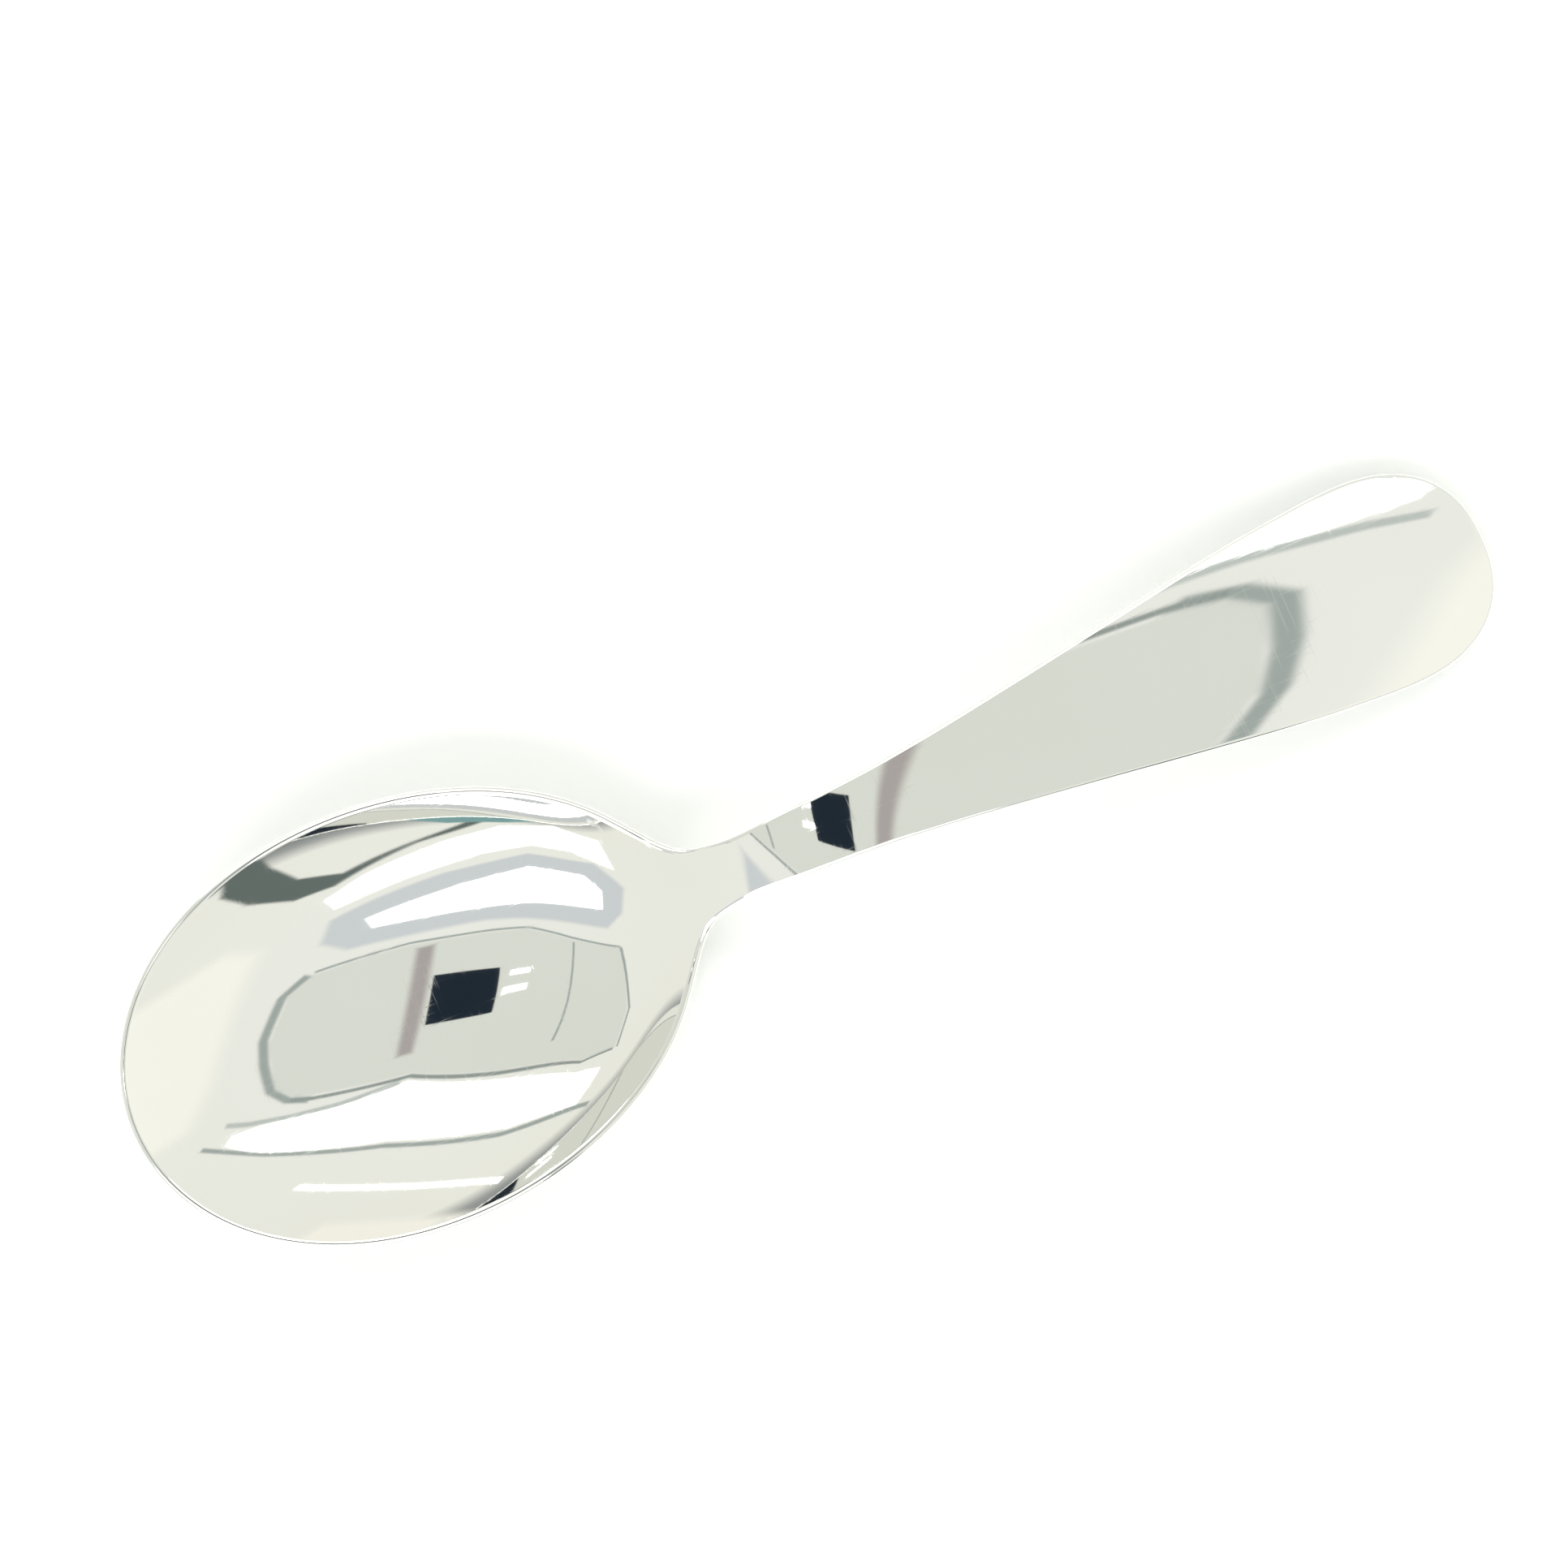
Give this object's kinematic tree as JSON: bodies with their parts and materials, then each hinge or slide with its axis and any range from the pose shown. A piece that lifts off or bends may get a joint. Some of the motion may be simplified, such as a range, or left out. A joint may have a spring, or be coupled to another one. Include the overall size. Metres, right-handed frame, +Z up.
{
  "type": "baby spoon",
  "caption": "Mirror-polished silver baby spoon in one piece, with a deep egg-shaped bowl, a slim raised neck and a plain handle that widens to a broad rounded end.",
  "frame": {"origin": "middle of the spoon's footprint, at the height of the table it lies on", "axes": "+X along the spoon from the bowl's tip to the handle's end, +Z up out of the bowl, +Y across"},
  "size_m": [0.105, 0.0304, 0.0095],
  "materials": {
    "silver": "mirror polished silver"
  },
  "bodies": {
    "root": {"spoon": "silver"}
  },
  "joints": []
}
